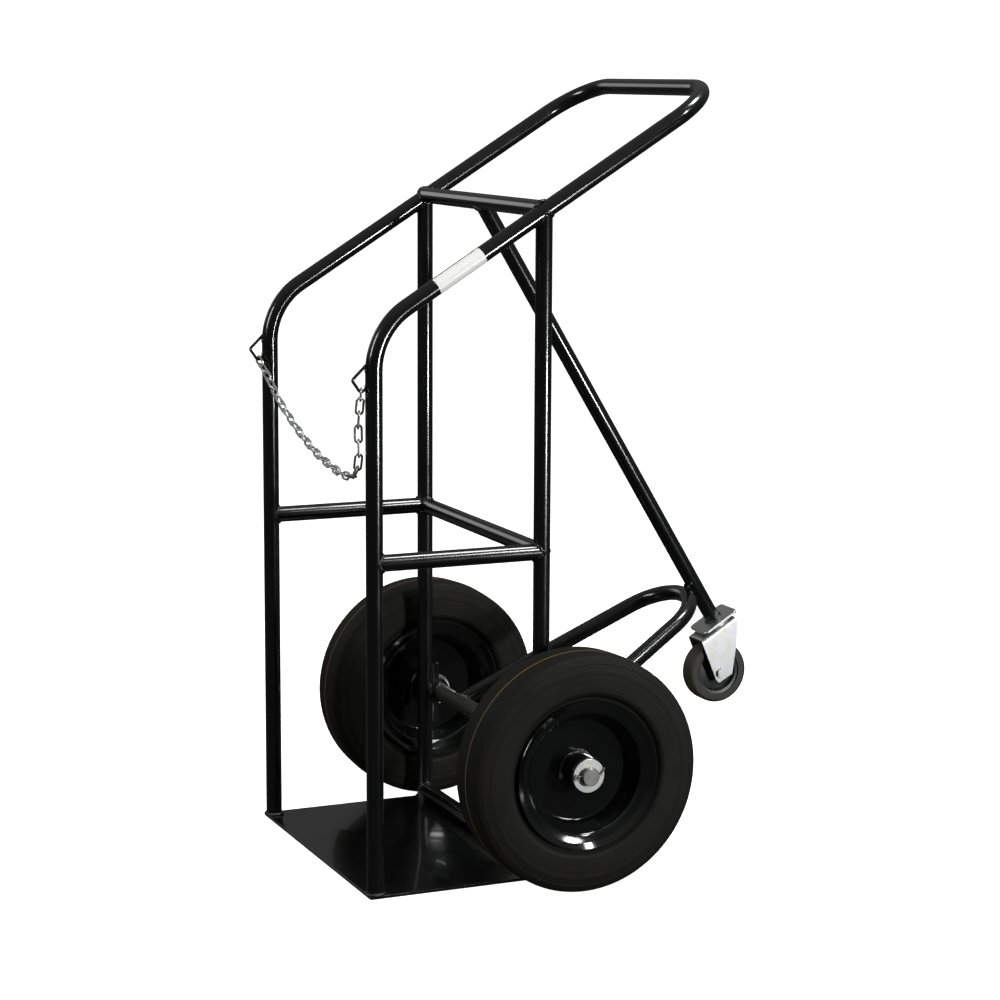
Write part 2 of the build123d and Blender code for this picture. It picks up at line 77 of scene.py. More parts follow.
TUBE_RADIUS = float(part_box("rear_rail")[1].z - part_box("rear_rail")[0].z) / 2
SIDE_X = float(middle("rear_upright_right")[0])
REAR_Y = float(middle("rear_upright_right")[1])
FRONT_Y = -REAR_Y
PLATE_TOP = float(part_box("base_plate")[1].z)
RAIL_Z = float(middle("rear_rail")[2])
CROSSBAR_Z = float(middle("top_crossbar")[2])
FOOT_BAR_Z = float(middle("rear_foot_bar")[2])
HANDLE_Y = float(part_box("handle_frame")[1].y) - TUBE_RADIUS
HANDLE_Z = float(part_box("handle_frame")[1].z) - TUBE_RADIUS
SLOPE = math.radians(31.8)
CORNER_Z = HANDLE_Z - (HANDLE_Y - FRONT_Y) * math.tan(SLOPE)
JUNCTION_Z = CORNER_Z + (REAR_Y - FRONT_Y) * math.tan(SLOPE)
AXLE_Y, AXLE_Z = (float(v) for v in middle("axle")[1:])
AXLE_RADIUS = float(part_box("axle")[1].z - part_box("axle")[0].z) / 2
WHEEL_X = JOINTS["right_wheel_spin"]["pos_m"][0]
STRUT_END = np.array(JOINTS["castor_swivel"]["pos_m"])
STRUT_UP = np.array(JOINTS["castor_swivel"]["axis"])
CASTOR_AXLE = np.array(JOINTS["castor_wheel_spin"]["pos_m"])
FLASH_OFFSET = 0.003  # the mould line, outwards from the wheel's middle


class CartSizes(bpy.types.PropertyGroup):
    """Sizes of the finished surfaces that the frame's boxes don't give."""

    front_bend: bpy.props.FloatProperty(
        name="Front bend", description="Radius of the bend above each front upright",
        default=0.118, unit="LENGTH")
    handle_bend: bpy.props.FloatProperty(
        name="Handle bend", description="Radius of the handle's corners and the rear loop's crown",
        default=0.094, unit="LENGTH")
    loop_slope: bpy.props.FloatProperty(
        name="Loop slope", description="Rise of the rear loop's legs above level",
        default=math.radians(29.3), subtype="ANGLE")
    loop_splay: bpy.props.FloatProperty(
        name="Loop splay", description="Angle of each leg of the rear loop from straight back",
        default=math.radians(14), subtype="ANGLE")
    bead_radius: bpy.props.FloatProperty(
        name="Weld bead", description="Radius of the weld beads between tubes",
        default=0.0026, unit="LENGTH")
    ripple_pitch: bpy.props.FloatProperty(
        name="Weld ripple", description="Distance between ripples of a weld bead",
        default=0.0030, unit="LENGTH")
    plate_edge: bpy.props.FloatProperty(
        name="Plate edge", description="Rounding of the base plate's sheared edge",
        default=0.0008, unit="LENGTH")


class CartColours(bpy.types.PropertyGroup):
    """Colours of the finishes, as sRGB hex values."""

    enamel: bpy.props.StringProperty(
        name="Enamel", description="Gloss black enamel of the frame", default="#050706")
    enamel_thin: bpy.props.StringProperty(
        name="Thin enamel", description="The same enamel where it lies thinner", default="#0a0c0b")
    rubber: bpy.props.StringProperty(
        name="Rubber", description="Rubber of the large tyres", default="#100f09")
    rubber_dark: bpy.props.StringProperty(
        name="Dark rubber", description="Darker cloud of the same rubber", default="#0a0a06")
    # A pale brown colour laid in a band along the ridge on the tyre's crown.
    pale_crown_band: bpy.props.StringProperty(
        name="Crown band", description="Pale brown band along the ridge on the tyre's crown", default="#75603f")
    zinc: bpy.props.StringProperty(
        name="Zinc", description="Bright zinc plate", default="#c9ccce")
    zinc_warm: bpy.props.StringProperty(
        name="Warm zinc", description="Yellower patches of the zinc plate", default="#c3c0b3")
    steel: bpy.props.StringProperty(
        name="Cut steel", description="Bare cut steel", default="#8f8e8a")
    castor_rubber: bpy.props.StringProperty(
        name="Castor rubber", description="Rubber of the castor's tyre", default="#1b1915")
    castor_tread: bpy.props.StringProperty(
        name="Castor tread", description="Browner tread of the castor's tyre", default="#3a2f23")
    nylon: bpy.props.StringProperty(
        name="Nylon", description="Moulded core of the castor wheel", default="#141414")
    vinyl: bpy.props.StringProperty(
        name="Vinyl", description="Blank white label", default="#f3f3f1")
    floor: bpy.props.StringProperty(
        name="Floor", description="Pale studio floor and backdrop", default="#f4f4f3")


# ---------------------------------------------------------------------------
# Surfaces. Each returns (points, faces): an array of points and a list of faces.
# ---------------------------------------------------------------------------
def unit(vectors):
    """Vectors divided by their own length, along the last axis."""
    vectors = np.asarray(vectors, float)
    return vectors / np.linalg.norm(vectors, axis=-1, keepdims=True)


def grid(points, close_rows=False, close_columns=True, caps=True):
    """A surface P(u, v) on a grid: u counts rows, v columns, and one quad joins each four neighbours.
    Closed directions wrap round. With caps, a pole at the mean of the first and of the last row closes
    the ends."""
    rows, columns = points.shape[:2]
    index = np.arange(rows * columns).reshape(rows, columns)
    if close_rows:
        index = np.vstack([index, index[:1]])
    if close_columns:
        index = np.hstack([index, index[:, :1]])
    quads = np.stack([index[:-1, :-1], index[:-1, 1:], index[1:, 1:], index[1:, :-1]], -1).reshape(-1, 4).tolist()
    flat = points.reshape(-1, 3)
    if caps and not close_rows:
        poles = np.stack([points[0].mean(0), points[-1].mean(0)])
        first, last = index[0], index[-1]
        count = len(flat)
        quads += np.stack([first[1:], first[:-1], np.full(len(first) - 1, count)], -1).tolist()
        quads += np.stack([last[:-1], last[1:], np.full(len(last) - 1, count + 1)], -1).tolist()
        flat = np.vstack([flat, poles])
    return flat, quads


def join(surfaces):
    """Several surfaces as one: the points one after another, the faces counted on."""
    points, faces, start = [], [], 0
    for some_points, some_faces in surfaces:
        points.append(some_points)
        faces += [[i + start for i in face] for face in some_faces]
        start += len(some_points)
    return np.vstack(points), faces


def arc(centre, start, end, steps):
    """Points on the arc from start to end about centre: start cos(a) + side sin(a), with side square to start."""
    a, b = start - centre, end - centre
    radius = np.linalg.norm(a)
    side = b - a * np.dot(a, b) / radius**2
    side = unit(side) * radius
    turn = np.arccos(np.clip(np.dot(a, b) / (radius * np.linalg.norm(b)), -1, 1))
    angle = np.linspace(0, turn, steps)[:, None]
    return centre + a * np.cos(angle) + side * np.sin(angle)


def bent_path(corners, bends, steps=20, run=6):
    """A line through corners whose inner corners are arcs of the given radii, each tangent to both of its runs."""
    corners = [np.asarray(corner, float) for corner in corners]
    pieces, last = [], corners[0]
    for before, corner, after, radius in zip(corners, corners[1:], corners[2:], bends):
        back, ahead = unit(before - corner), unit(after - corner)
        half = math.acos(float(np.clip(np.dot(back, ahead), -1, 1))) / 2
        reach = radius / math.tan(half)
        centre = corner + unit(back + ahead) * radius / math.sin(half)
        start, end = corner + back * reach, corner + ahead * reach
        pieces += [np.linspace(last, start, run)[:-1], arc(centre, start, end, steps)[:-1]]
        last = end
    pieces.append(np.linspace(last, corners[-1], run))
    return np.vstack(pieces)


def tangents(path, closed=False):
    """Unit directions along a path, from each point's two neighbours."""
    if closed:
        return unit(np.roll(path, -1, 0) - np.roll(path, 1, 0))
    return unit(np.gradient(path, axis=0))


def sweep(path, radius, across, sides=40, closed=False):
    """A round profile carried along a path: P(u, v) = path(u) + r(u)(n cos v + b sin v).
    b is the given across direction made square to the path, and n is square to both."""
    along = tangents(path, closed)
    across = np.broadcast_to(np.asarray(across, float), path.shape)
    b = unit(across - along * np.sum(across * along, -1, keepdims=True))
    n = np.cross(b, along)
    angle = np.linspace(0, 2 * np.pi, sides, endpoint=False)[None, :, None]
    r = np.broadcast_to(np.asarray(radius, float), len(path))[:, None, None]
    points = path[:, None] + r * (n[:, None] * np.cos(angle) + b[:, None] * np.sin(angle))
    return grid(points, close_rows=closed)


def lathe(profile, centre, axis, sides=192, closed=True):
    """A profile of (along, radius) turned about an axis:
    P(u, v) = centre + along(u) axis + radius(u)(p cos v + q sin v). An open profile keeps its two ends open."""
    axis = unit(axis)
    p = unit(np.cross(axis, [0.31, 0.27, 0.91]))
    q = np.cross(axis, p)
    angle = np.linspace(0, 2 * np.pi, sides, endpoint=False)[None, :, None]
    profile = np.asarray(profile, float)
    points = (
        np.asarray(centre, float)
        + profile[:, 0, None, None] * axis
        + profile[:, 1, None, None] * (p * np.cos(angle) + q * np.sin(angle))
    )
    return grid(points, close_rows=closed, caps=False)


def rounded_profile(corners, bends, steps=8):
    """A flat outline with rounded corners, as (along, radius) pairs."""
    flat = [(x, r, 0) for x, r in corners]
    return bent_path(flat, bends, steps, 3)[:, :2]


def sheet_profile(face, thickness):
    """A closed outline round a sheet: the given face, and the same face moved square to itself
    by the thickness."""
    along = tangents(np.column_stack([face, np.zeros(len(face))]))
    square = np.column_stack([along[:, 1], -along[:, 0]])
    return np.vstack([face, (face + square * thickness)[::-1]])


def saddle(point, direction, main_point, main_axis, branch_radius, main_radius, count=160):
    """The line where a round branch meets a round main tube. Each line on the branch's side,
    B(t) = point + r(u cos t + v sin t) + s direction, goes out by the s at which its distance
    from the main axis is the main radius."""
    direction, main_axis = unit(direction), unit(main_axis)
    u = unit(np.cross(direction, main_axis))
    v = np.cross(direction, u)
    t = np.linspace(0, 2 * np.pi, count, endpoint=False)[:, None]
    outward = u * np.cos(t) + v * np.sin(t)
    base = np.asarray(point, float) + branch_radius * outward
    gap = base - np.asarray(main_point, float)
    gap = gap - (gap @ main_axis)[:, None] * main_axis
    step = direction - np.dot(direction, main_axis) * main_axis
    a, half_b = np.dot(step, step), gap @ step
    c = np.sum(gap * gap, 1) - main_radius**2
    s = (-half_b + np.sqrt(np.maximum(half_b**2 - a * c, 0))) / a
    return base + s[:, None] * direction, outward


def ring(centre, axis, radius, count=120):
    """A circle about an axis, and the directions outwards from it."""
    axis = unit(axis)
    p = unit(np.cross(axis, [0.31, 0.27, 0.91]))
    q = np.cross(axis, p)
    t = np.linspace(0, 2 * np.pi, count, endpoint=False)[:, None]
    outward = p * np.cos(t) + q * np.sin(t)
    return np.asarray(centre, float) + radius * outward, outward


def bead(line, outward, radius, pitch, seed, closed=True):
    """A weld bead: a round profile along a line, whose radius swells at each ripple,
    r (1 + 0.16 |sin(pi s / pitch)| + slow wander of a few sines of the distance s)."""
    line_shut = np.vstack([line, line[:1]]) if closed else line
    outward_shut = np.vstack([outward, outward[:1]]) if closed else outward
    steps = np.linalg.norm(np.diff(line_shut, axis=0), axis=1)
    total = steps.sum()
    count = max(int(total / (pitch / 6)), 24)
    s = np.concatenate([[0], np.cumsum(steps)])
    wanted = np.linspace(0, total, count, endpoint=not closed)
    path = np.stack([np.interp(wanted, s, line_shut[:, k]) for k in range(3)], -1)
    side = unit(np.stack([np.interp(wanted, s, outward_shut[:, k]) for k in range(3)], -1))
    ripples = max(round(total / pitch), 2)
    phase = 2 * np.pi * wanted / total
    random = np.random.default_rng(seed)
    wander = sum(
        random.uniform(0.02, 0.05) * np.sin(k * phase + random.uniform(0, 6.28)) for k in (2, 3, 5, 8, 13)
    )
    swell = 1 + 0.16 * np.abs(np.sin(ripples * phase / 2)) + wander
    if not closed:
        swell = swell * np.clip(4 * np.minimum(wanted, total - wanted) / (8 * radius) + 0.35, 0.35, 1)
    return sweep(path, radius * swell, side, sides=10, closed=closed)


def piece(name, surfaces, body, slot, replaces=(), sharp=40):
    """One object at the origin from one or more closed surfaces, riding on a body, its faces turned outwards."""
    points, faces = join(surfaces)
    mesh = bpy.data.meshes.new(name)
    mesh.from_pydata(points.tolist(), [], faces)
    turned = bmesh.new()
    turned.from_mesh(mesh)
    bmesh.ops.recalc_face_normals(turned, faces=turned.faces)
    turned.to_mesh(mesh)
    turned.free()
    mesh.shade_smooth()
    mesh.set_sharp_from_angle(angle=math.radians(sharp))
    made = bpy.data.objects.new(name, mesh)
    bpy.context.scene.collection.objects.link(made)
    made.data.materials.append(bpy.data.materials[MATERIALS[slot]])
    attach(made, body)
    if replaces:
        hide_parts(*replaces)
    return made


# ---------------------------------------------------------------------------
# Materials
# ---------------------------------------------------------------------------
MATERIALS = {
    "frame_enamel": "gloss_black_stove_enamel",
    "rim_enamel": "gloss_black_rim_enamel",
    "tyre_rubber": "moulded_tyre_rubber",
    "castor_rubber": "moulded_castor_rubber",
    "castor_core": "moulded_black_nylon",
    "zinc_plate": "bright_zinc_plate",
    "bare_steel": "cut_bare_steel",
    "label_vinyl": "white_vinyl_film",
}


def linear(hex_colour):
    """An sRGB hex colour as linear red, green, blue and alpha."""
    values = [int(hex_colour[i:i + 2], 16) / 255 for i in (1, 3, 5)]
    return [v / 12.92 if v <= 0.04045 else ((v + 0.055) / 1.055) ** 2.4 for v in values] + [1.0]


def add_node(tree, kind, inputs=None, **settings):
    """A node with its settings; an input is a value, or a socket to link from."""
    node = tree.nodes.new(kind)
    for key, value in settings.items():
        setattr(node, key, value)
    for key, value in (inputs or {}).items():
        if isinstance(value, bpy.types.NodeSocket):
            tree.links.new(value, node.inputs[key])
        else:
            node.inputs[key].default_value = value
    return node


def new_material(name):
    """An empty material, with its node tree and a coordinate node in the row's frame."""
    material = bpy.data.materials.new(name)
    material.use_nodes = True
    tree = material.node_tree
    tree.nodes.clear()
    place = add_node(tree, "ShaderNodeTexCoord").outputs["Object"]
    return tree, place


def shade(tree, inputs):
    """The surface shader and the output."""
    surface = add_node(tree, "ShaderNodeBsdfPrincipled", inputs)
    add_node(tree, "ShaderNodeOutputMaterial", {"Surface": surface.outputs[0]})


def noise(tree, place, size, detail):
    """A noise value whose features are about size metres across."""
    return add_node(tree, "ShaderNodeTexNoise", {"Vector": place, "Scale": 1 / size, "Detail": detail}).outputs[0]


def ramp(tree, value, start, end, low=0.0, high=1.0):
    """A value moved from the range start to end on to low to high, and held there outside it."""
    return add_node(tree, "ShaderNodeMapRange", {
        "Value": value, "From Min": start, "From Max": end, "To Min": low, "To Max": high}).outputs[0]


def blend(tree, factor, first, second):
    """A colour between two others, each a colour or a socket."""
    return add_node(tree, "ShaderNodeMix", {0: factor, 6: first, 7: second}, data_type="RGBA").outputs[2]


def relief(tree, height, strength, depth, below=None):
    """A bump of the given depth in metres, laid over another one or on the plain surface."""
    inputs = {"Height": height, "Strength": strength, "Distance": depth}
    if below is not None:
        inputs["Normal"] = below
    return add_node(tree, "ShaderNodeBump", inputs).outputs[0]


def arithmetic(tree, operation, *values):
    """One arithmetic node's value."""
    return add_node(tree, "ShaderNodeMath", dict(enumerate(values)), operation=operation).outputs[0]


def reach_from(tree, place, y, z):
    """The distance of each place from a line along X through (y, z)."""
    high = add_node(tree, "ShaderNodeVectorMath", {0: place, 1: (0, y, z)}, operation="SUBTRACT").outputs[0]
    flat = add_node(tree, "ShaderNodeVectorMath", {0: high, 1: (0, 1, 1)}, operation="MULTIPLY").outputs[0]
    return add_node(tree, "ShaderNodeVectorMath", {0: flat}, operation="LENGTH").outputs["Value"]


def enamel_material(name, colours, base_roughness, peel_height):
    """Black stove enamel, sprayed over welded steel and baked. It pulls back from edges, so it clouds slightly.
    It dries with orange peel, low waves about 2 mm apart that break up a highlight, and with a few nibs of dust."""
    cloud_size, peel_size, nib_spacing, nib_height = 0.06, 0.0022, 0.009, 0.00008
    tree, place = new_material(name)
    cloud = noise(tree, place, cloud_size, 3.0)
    peel = noise(tree, place, peel_size, 1.0)
    specks = add_node(tree, "ShaderNodeTexVoronoi", {
        "Vector": place, "Scale": 1 / nib_spacing, "Randomness": 1.0}).outputs[0]
    waves = relief(tree, peel, 0.5, peel_height)
    shade(tree, {
        "Base Color": blend(tree, cloud, linear(colours.enamel), linear(colours.enamel_thin)),
        "Roughness": ramp(tree, cloud, 0.3, 0.7, base_roughness, base_roughness + 0.06),
        "Normal": relief(tree, ramp(tree, specks, 0.05, 0.0), 0.3, nib_height, waves),
        "IOR": 1.5, "Coat Weight": 0.35, "Coat Roughness": 0.04, "Coat IOR": 1.5})


def tyre_material(colours):
    """Cured black rubber with oil and wax in it, from a mould. It is dull, clouded and finely pitted,
    and a pale brown band is laid along the mould line's ridge on the crown."""
    cloud_size, pit_size, pit_depth = 0.05, 0.0012, 0.00025
    tree, place = new_material(MATERIALS["tyre_rubber"])
    cloud = noise(tree, place, cloud_size, 4.0)
    split = add_node(tree, "ShaderNodeSeparateXYZ", {"Vector": place})
    outside = arithmetic(tree, "ABSOLUTE", split.outputs[0])
    offset = arithmetic(tree, "SUBTRACT", outside, WHEEL_X + FLASH_OFFSET)
    # Pale brown colour laid on the crown, strongest within 0.8 mm of the ridge and gone by 2.2 mm from it.
    pale_crown_band = ramp(tree, arithmetic(tree, "ABSOLUTE", offset), 0.0022, 0.0008, 0.0, 0.8)
    crown = ramp(tree, reach_from(tree, place, AXLE_Y, AXLE_Z), 0.197, 0.199)
    rubber = blend(tree, cloud, linear(colours.rubber), linear(colours.rubber_dark))
    shade(tree, {
        "Base Color": blend(tree, arithmetic(tree, "MULTIPLY", pale_crown_band, crown), rubber, linear(colours.pale_crown_band)),
        "Roughness": ramp(tree, cloud, 0.0, 1.0, 0.62, 0.8),
        "Normal": relief(tree, noise(tree, place, pit_size, 2.0), 0.35, pit_depth),
        "IOR": 1.52, "Specular IOR Level": 0.18})


def castor_rubber_material(colours):
    """Pressed-on castor rubber: dull black sides, and a tread browned by moulding and dust."""
    cloud_size, pit_size, pit_depth, ragged = 0.02, 0.001, 0.0002, 0.004
    tree, place = new_material(MATERIALS["castor_rubber"])
    cloud = noise(tree, place, cloud_size, 3.0)
    radius = reach_from(tree, place, CASTOR_AXLE[1], CASTOR_AXLE[2])
    worn = arithmetic(tree, "MULTIPLY_ADD", cloud, ragged, radius)
    tread = ramp(tree, worn, 0.0545, 0.0585, 0.0, 0.9)
    shade(tree, {
        "Base Color": blend(tree, tread, linear(colours.castor_rubber), linear(colours.castor_tread)),
        "Roughness": 0.6, "Normal": relief(tree, noise(tree, place, pit_size, 2.0), 0.3, pit_depth), "IOR": 1.52})


def nylon_material(colours):
    """Black glass-filled nylon from a spark-eroded mould: a fine even texture with a soft shine."""
    grain_size, streak_size, grain_depth = 0.0008, 0.02, 0.0001
    tree, place = new_material(MATERIALS["castor_core"])
    shade(tree, {
        "Base Color": linear(colours.nylon),
        "Roughness": ramp(tree, noise(tree, place, streak_size, 2.0), 0.0, 1.0, 0.38, 0.52),
        "Normal": relief(tree, noise(tree, place, grain_size, 1.0), 0.3, grain_depth), "IOR": 1.53})


def zinc_material(colours):
    """Bright zinc electroplate over pressed or drawn steel. It is blue-white with warmer clouds where the chromate
    is thicker, and keeps the die's faint scratches, so highlights are soft and a little streaked."""
    cloud_size, scratch_size, scratch_depth, stretch = 0.015, 0.003, 0.00006, 6.0
    tree, place = new_material(MATERIALS["zinc_plate"])
    drawn = add_node(tree, "ShaderNodeMapping", {"Vector": place, "Scale": (1.0, stretch, 1.0)}).outputs[0]
    scratch = noise(tree, drawn, scratch_size, 4.0)
    warm = ramp(tree, noise(tree, place, cloud_size, 3.0), 0.45, 0.75)
    shade(tree, {
        "Base Color": blend(tree, warm, linear(colours.zinc), linear(colours.zinc_warm)), "Metallic": 1.0,
        "Roughness": ramp(tree, scratch, 0.3, 0.7, 0.3, 0.45),
        "Normal": relief(tree, scratch, 0.25, scratch_depth)})


def steel_material(colours):
    """Bare mild steel, sawn and faced: the tool leaves fine rings round the bar's axis, and oil dulls
    it in patches."""
    ring_pitch, ring_depth, patch_size, oiled = 0.0011, 0.00005, 0.006, 0.55
    tree, place = new_material(MATERIALS["bare_steel"])
    turns = arithmetic(tree, "MULTIPLY", reach_from(tree, place, AXLE_Y, AXLE_Z), 2 * math.pi / ring_pitch)
    patch = noise(tree, place, patch_size, 4.0)
    clean = linear(colours.steel)
    dull = [value * oiled for value in clean[:3]] + [1.0]
    shade(tree, {
        "Base Color": blend(tree, patch, clean, dull), "Metallic": 1.0,
        "Roughness": ramp(tree, patch, 0.0, 1.0, 0.28, 0.55),
        "Normal": relief(tree, arithmetic(tree, "SINE", turns), 0.35, ring_depth)})


def vinyl_material(colours):
    """White vinyl film, printed blank and laminated: smooth and satin, with slight waves from
    being laid by hand."""
    wave_size, wave_depth = 0.012, 0.0003
    tree, place = new_material(MATERIALS["label_vinyl"])
    wave = noise(tree, place, wave_size, 1.0)
    shade(tree, {
        "Base Color": linear(colours.vinyl), "Roughness": ramp(tree, wave, 0.0, 1.0, 0.28, 0.4),
        "Normal": relief(tree, wave, 0.2, wave_depth), "IOR": 1.46})


class CART_OT_materials(bpy.types.Operator):
    """Make every finish, and give the CAD nodes theirs."""

    bl_idname = "cart.materials"
    bl_label = "Materials"

    def execute(self, context):
        colours = context.scene.cart_colours
        enamel_material(MATERIALS["frame_enamel"], colours, 0.16, 0.00012)
        enamel_material(MATERIALS["rim_enamel"], colours, 0.06, 0.00006)
        tyre_material(colours)
        castor_rubber_material(colours)
        nylon_material(colours)
        zinc_material(colours)
        steel_material(colours)
        vinyl_material(colours)
        for part in frame["record"]["subparts"]:
            node = frame["nodes"][part["node"]]
            node.data.materials.clear()
            node.data.materials.append(bpy.data.materials[MATERIALS[part["material_slot"]]])
        return {"FINISHED"}


# ---------------------------------------------------------------------------
# Stage
# ---------------------------------------------------------------------------
def soft_box(name, place, aim, size, power):
    """An area light that faces the point aim."""
    lamp = bpy.data.lights.new(name, "AREA")
    lamp.shape = "RECTANGLE"
    lamp.size, lamp.size_y = size
    lamp.energy = power
    made = bpy.data.objects.new(name, lamp)
    made.location = place
    made.rotation_euler = (Vector(aim) - Vector(place)).to_track_quat("-Z", "Y").to_euler()
    bpy.context.scene.collection.objects.link(made)


class CART_OT_stage(bpy.types.Operator):
    """Floor, backdrop, soft lights and camera."""

    bl_idname = "cart.stage"
    bl_label = "Stage"

    def execute(self, context):
        scene = context.scene
        camera_place = Vector((4.1144, -1.6180, 1.3282))
        camera_aim = Vector((-0.0004, 0.1840, 0.5979))
        camera_roll = math.radians(0.28)
        forward = (camera_aim - camera_place).normalized()
        right = forward.cross(Vector((0, 0, 1))).normalized()
        up = right.cross(forward)
        tilted = right * math.cos(camera_roll) + up * math.sin(camera_roll)
        upright = up * math.cos(camera_roll) - right * math.sin(camera_roll)
        view = bpy.data.cameras.new("studio_camera")
        view.lens, view.sensor_width = 94.44, 36.0
        view.clip_end = 100.0
        camera = bpy.data.objects.new("studio_camera", view)
        turn = Matrix((tilted, upright, -forward)).transposed()
        camera.matrix_world = Matrix.Translation(camera_place) @ turn.to_4x4()
        scene.collection.objects.link(camera)
        scene.camera = camera

        tree, place = new_material("matt_white_floor")
        rough = ramp(tree, noise(tree, place, 0.4, 2.0), 0.0, 1.0, 0.8, 0.9)
        shade(tree, {"Base Color": linear(scene.cart_colours.floor), "Roughness": rough, "Specular IOR Level": 0.2,
                     "Emission Color": linear(scene.cart_colours.floor), "Emission Strength": 1.1})
        # The floor runs back level, then bends up into a wall behind the cart, all round.
        edge, bend, wall = 7.0, 3.0, 9.0
        turn = np.linspace(0, np.pi / 2, 24)
        reach = np.concatenate([np.linspace(0.02, edge, 6)[:-1], edge + bend * np.sin(turn), [edge + bend]])
        height = np.concatenate([np.zeros(5), bend - bend * np.cos(turn), [wall]])
        points, faces = lathe(np.column_stack([height, reach]), (0, 0, 0), (0, 0, 1), 96, closed=False)
        mesh = bpy.data.meshes.new("studio_floor")
        mesh.from_pydata(points.tolist(), [], faces)
        mesh.shade_smooth()
        mesh.materials.append(bpy.data.materials["matt_white_floor"])
        floor = bpy.data.objects.new("studio_floor", mesh)
        floor.visible_glossy = False
        floor.visible_diffuse = False
        scene.collection.objects.link(floor)

        # Dark surroundings that brighten overhead, so that gloss enamel stays black and is lit from above.
        world = bpy.data.worlds.new("studio_world")
        world.use_nodes = True
        sky = world.node_tree.nodes["Background"]
        direction = add_node(world.node_tree, "ShaderNodeTexCoord").outputs["Generated"]
        height = add_node(world.node_tree, "ShaderNodeSeparateXYZ", {"Vector": direction}).outputs[2]
        glow = ramp(world.node_tree, height, 0.0, 0.9, 0.05, 0.25)
        world.node_tree.links.new(glow, sky.inputs["Strength"])
        sky.inputs["Color"].default_value = (1.0, 1.0, 1.0, 1.0)
        scene.world = world
        scene.view_settings.view_transform = "Standard"
        soft_box("top_box", (0.8, 1.9, 4.4), (0, 0.2, 0.6), (1.2, 1.2), 120.0)
        soft_box("front_box", (0.4, -4.6, 2.6), (0, 0.1, 0.7), (1.0, 2.0), 80.0)
        soft_box("key_box", (3.6, 2.2, 3.4), (0, 0.1, 0.6), (0.5, 0.9), 75.0)
        soft_box("side_box", (2.2, 1.3, 0.5), (0.3, 0.3, 0.25), (0.24, 0.24), 30.0)
        soft_box("back_box", (-4.95, -2.0, 2.25), (0, 0.2, 1.1), (2.4, 1.8), 17.0)
        return {"FINISHED"}


# ---------------------------------------------------------------------------
# Frame
# ---------------------------------------------------------------------------
SLANT = np.array([0, math.cos(SLOPE), math.sin(SLOPE)])
STRUT_TOP = np.array([0, REAR_Y, CROSSBAR_Z])
STRUT_OUT = -STRUT_UP


def loop_path(sizes):
    """The rear loop's line: two legs splayed from the axle to a crown arc whose centre line
    stands one tube diameter in front of the strut's."""
    rise, splay, bend = sizes.loop_slope, sizes.loop_splay, sizes.handle_bend
    start = np.array([0, AXLE_Y, AXLE_Z])
    back = np.array([0, math.cos(rise), math.sin(rise)])
    square = np.array([0, STRUT_OUT[2], -STRUT_OUT[1]])
    reach = (np.dot(STRUT_TOP - start, square) + 2 * TUBE_RADIUS) / np.dot(back, square)
    half_gap = (bend * (1 - math.sin(splay)) + reach * math.sin(splay)) / math.cos(splay)
    apex = reach - bend
    across = np.array([1.0, 0, 0])
    turn = np.linspace(splay, math.pi - splay, 48)[:, None]
    crown = start + back * apex + bend * (across * np.cos(turn) + back * np.sin(turn))
    right_leg = np.linspace(start + across * half_gap, crown[0], 8)[:-1]
    left_leg = np.linspace(crown[-1], start - across * half_gap, 8)[1:]
    return np.vstack([right_leg, crown, left_leg]), np.cross(across, back)


class CART_OT_tubes(bpy.types.Operator):
    """Round tubes of the frame, handle, strut and rear loop."""

    bl_idname = "cart.tubes"
    bl_label = "Tubes"

    def execute(self, context):
        sizes = context.scene.cart_sizes
        corners = [
            (-SIDE_X, FRONT_Y, PLATE_TOP), (-SIDE_X, FRONT_Y, CORNER_Z), (-SIDE_X, HANDLE_Y, HANDLE_Z),
            (SIDE_X, HANDLE_Y, HANDLE_Z), (SIDE_X, FRONT_Y, CORNER_Z), (SIDE_X, FRONT_Y, PLATE_TOP),
        ]
        bends = [sizes.front_bend, sizes.handle_bend, sizes.handle_bend, sizes.front_bend]
        square_to_slant = (0, -math.sin(SLOPE), math.cos(SLOPE))
        handle = sweep(bent_path(corners, bends, 28), TUBE_RADIUS, square_to_slant)
        piece("handle_tube", [handle], "frame", "frame_enamel", ["handle_frame"])
        runs = [
            ("rear_upright_tube_left", (-SIDE_X, REAR_Y, PLATE_TOP), (-SIDE_X, REAR_Y, JUNCTION_Z),
             "rear_upright_left"),
            ("rear_upright_tube_right", (SIDE_X, REAR_Y, PLATE_TOP), (SIDE_X, REAR_Y, JUNCTION_Z),
             "rear_upright_right"),
            ("side_rail_tube_left", (-SIDE_X, FRONT_Y, RAIL_Z), (-SIDE_X, REAR_Y, RAIL_Z), "side_rail_left"),
            ("side_rail_tube_right", (SIDE_X, FRONT_Y, RAIL_Z), (SIDE_X, REAR_Y, RAIL_Z), "side_rail_right"),
            ("rear_rail_tube", (-SIDE_X, REAR_Y, RAIL_Z), (SIDE_X, REAR_Y, RAIL_Z), "rear_rail"),
            ("top_crossbar_tube", (-SIDE_X, REAR_Y, CROSSBAR_Z), (SIDE_X, REAR_Y, CROSSBAR_Z), "top_crossbar"),
            ("foot_bar_tube", (-SIDE_X, REAR_Y, FOOT_BAR_Z), (SIDE_X, REAR_Y, FOOT_BAR_Z), "rear_foot_bar"),
            ("strut_tube", tuple(STRUT_TOP), tuple(STRUT_END), "castor_strut"),
        ]
        for name, start, end, node in runs:
            path = np.linspace(start, end, 12)
            across = (0, 0, 1) if abs(path[-1, 2] - path[0, 2]) < 0.01 else (1, 0, 0)
            piece(name, [sweep(path, TUBE_RADIUS, across)], "frame", "frame_enamel", [node])
        path, square = loop_path(sizes)
        piece("rear_loop_tube", [sweep(path, TUBE_RADIUS, square)], "frame", "frame_enamel", ["rear_loop"])
        return {"FINISHED"}


